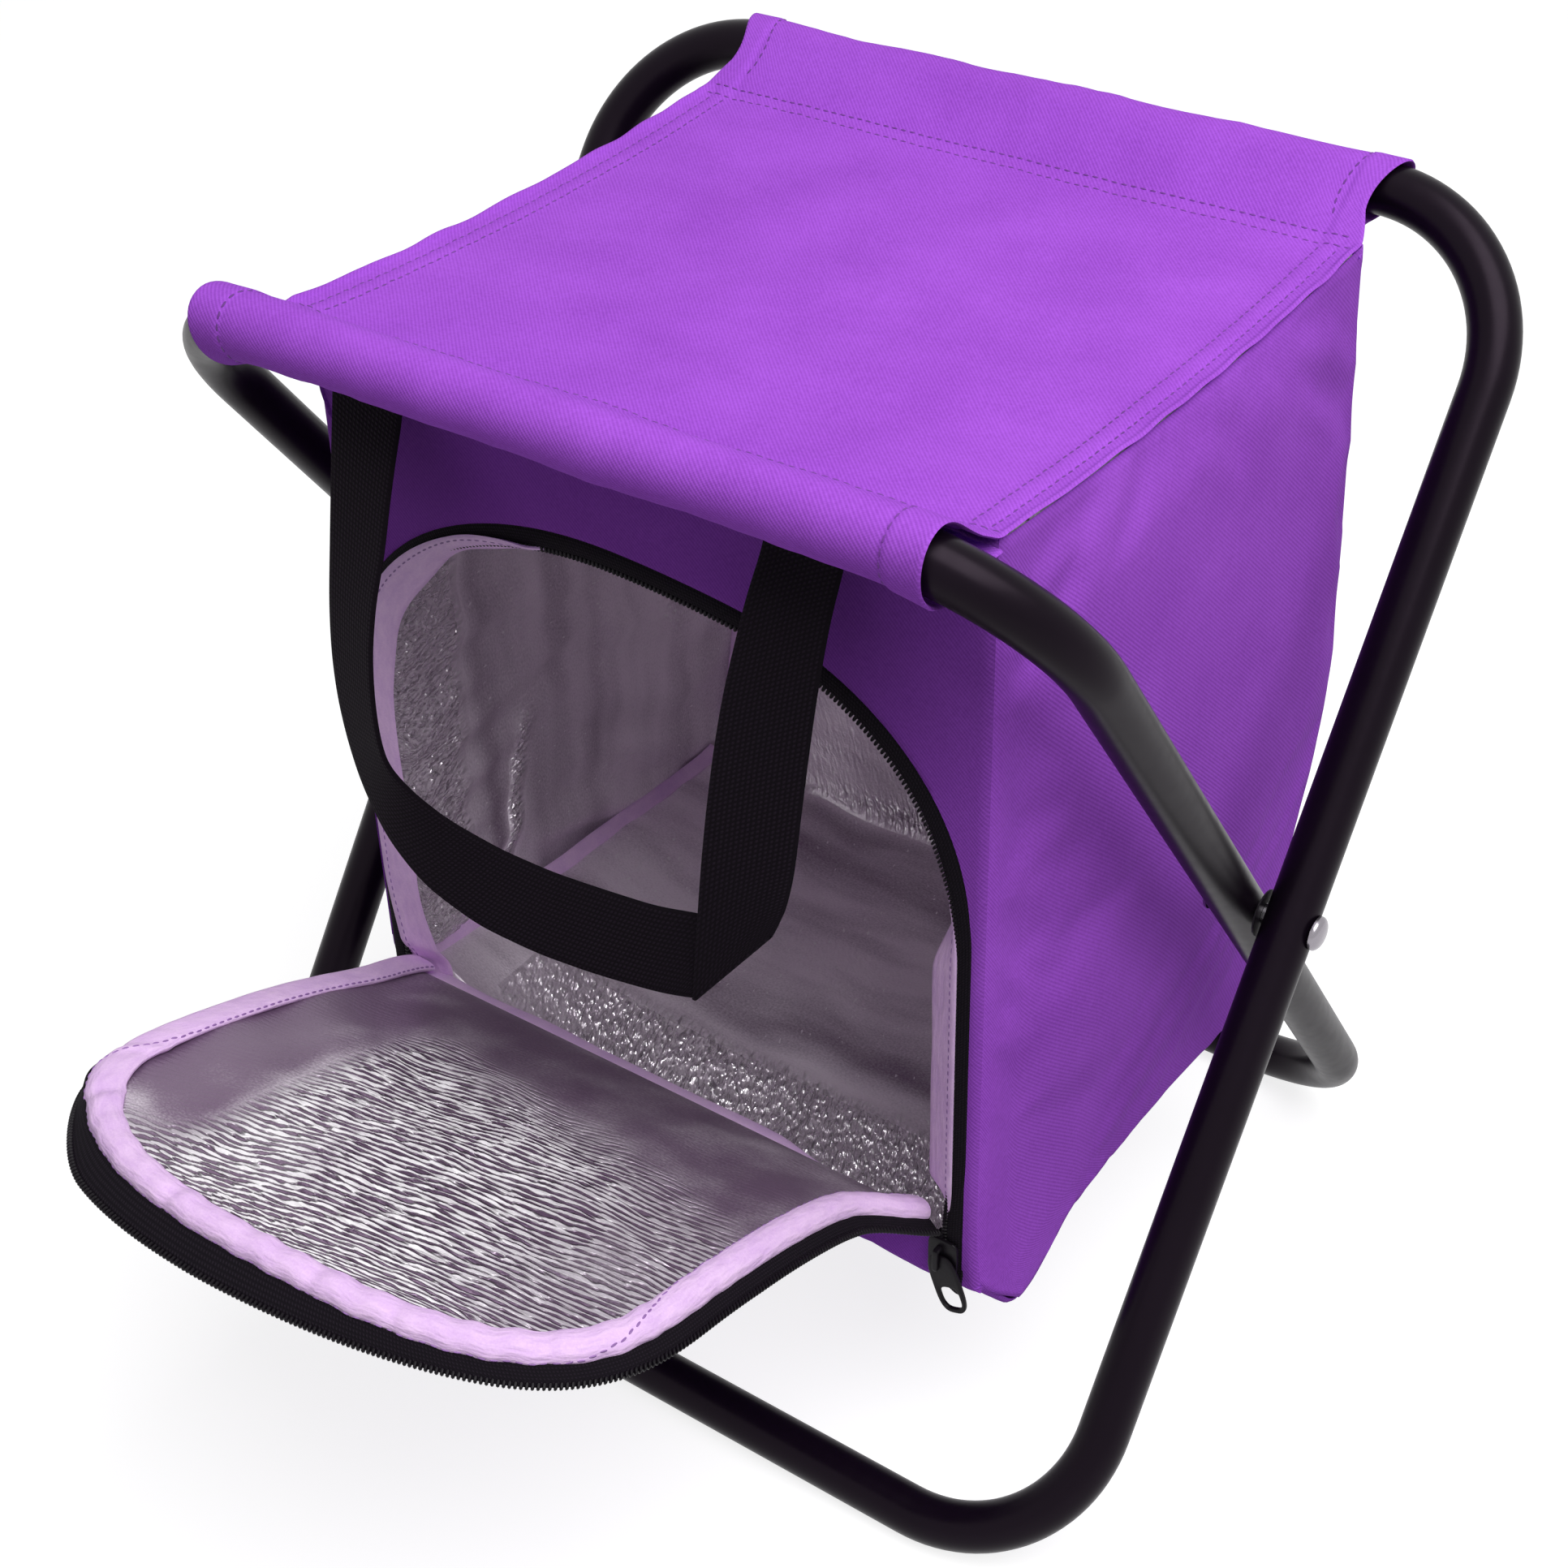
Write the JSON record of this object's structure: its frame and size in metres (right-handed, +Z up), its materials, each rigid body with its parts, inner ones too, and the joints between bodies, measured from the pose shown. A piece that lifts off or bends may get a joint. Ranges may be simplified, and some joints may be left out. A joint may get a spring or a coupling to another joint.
{
  "type": "folding cooler stool",
  "caption": "Folding stool of crossed bent tube loops with a cloth seat, an insulated bag under it with an arched zip flap, and a carry strap.",
  "frame": {"origin": "on the floor, under the middle of the open stool with its flap open", "axes": "+Z up; the flap points along -Y; +X to the right of someone who looks at the flap"},
  "size_m": [0.3526, 0.412, 0.368],
  "materials": {
    "painted_tube": "glossy black paint on bent steel tube",
    "zinc_steel": "bright zinc plated",
    "purple_cloth": "coated purple twill",
    "foil_lining": "aluminised film on closed-cell foam, creased",
    "lilac_binding": "soft lilac binding tape, stitched",
    "black_webbing": "matt black woven webbing",
    "zip_nylon": "black moulded nylon"
  },
  "bodies": {
    "seat_frame": {"inner_tube": "painted_tube", "inner_joint_plug": "zinc_steel", "front_sleeve": "purple_cloth", "seat_panel": "purple_cloth", "bag_front": "purple_cloth", "bag_back": "purple_cloth", "bag_base": "purple_cloth", "bag_side_left": "purple_cloth", "bag_side_right": "purple_cloth", "lining_front": "foil_lining", "lining_back": "foil_lining", "lining_base": "foil_lining", "lining_lid": "foil_lining", "lining_side_left": "foil_lining", "lining_side_right": "foil_lining", "base_binding_left": "lilac_binding", "base_binding_right": "lilac_binding", "back_binding_left": "lilac_binding", "back_binding_right": "lilac_binding", "opening_binding": "lilac_binding", "hinge_binding": "lilac_binding", "bag_zip_tape": "black_webbing", "bag_zip_teeth": "zip_nylon"},
    "back_frame": {"outer_tube": "painted_tube", "outer_joint_plug": "zinc_steel", "back_sleeve": "purple_cloth", "pivot_rivet_left": "zinc_steel", "pivot_rivet_right": "zinc_steel", "pivot_washer_left": "zip_nylon", "pivot_washer_right": "zip_nylon"},
    "flap": {"flap_panel": "purple_cloth", "flap_lining": "foil_lining", "flap_binding": "lilac_binding", "flap_zip_tape": "black_webbing", "flap_zip_teeth": "zip_nylon"},
    "slider": {"zip_slider": "zip_nylon"},
    "pull": {"zip_pull": "zip_nylon"},
    "strap": {"carry_strap": "black_webbing"}
  },
  "joints": [
    {"name": "fold", "type": "hinge", "parent": "seat_frame", "child": "back_frame", "pos_m": [0, 0.06669, 0.18305], "axis": [1, 0, 0], "range_deg": [0, 58], "deforming": ["seat_panel", "bag_front", "bag_back", "bag_base", "bag_side_left", "bag_side_right", "lining_front", "lining_back", "lining_base", "lining_lid", "lining_side_left", "lining_side_right", "base_binding_left", "base_binding_right", "back_binding_left", "back_binding_right"]},
    {"name": "flap_hinge", "type": "hinge", "parent": "seat_frame", "child": "flap", "pos_m": [0, -0.03331, 0.1053], "axis": [1, 0, 0], "range_deg": [-68, 48], "deforming": ["hinge_binding", "carry_strap"]},
    {"name": "zip_slide", "type": "slide", "parent": "seat_frame", "child": "slider", "axis": [0, 0, 1], "range_m": [0, 0.1]},
    {"name": "pull_swing", "type": "hinge", "parent": "slider", "child": "pull", "pos_m": [0.1081, -0.03671, 0.0965], "axis": [1, 0, 0], "range_deg": [-150, 0]},
    {"name": "strap_swing", "type": "hinge", "parent": "seat_frame", "child": "strap", "pos_m": [0, -0.04491, 0.35204], "axis": [1, 0, 0], "range_deg": [-55, 0]}
  ]
}
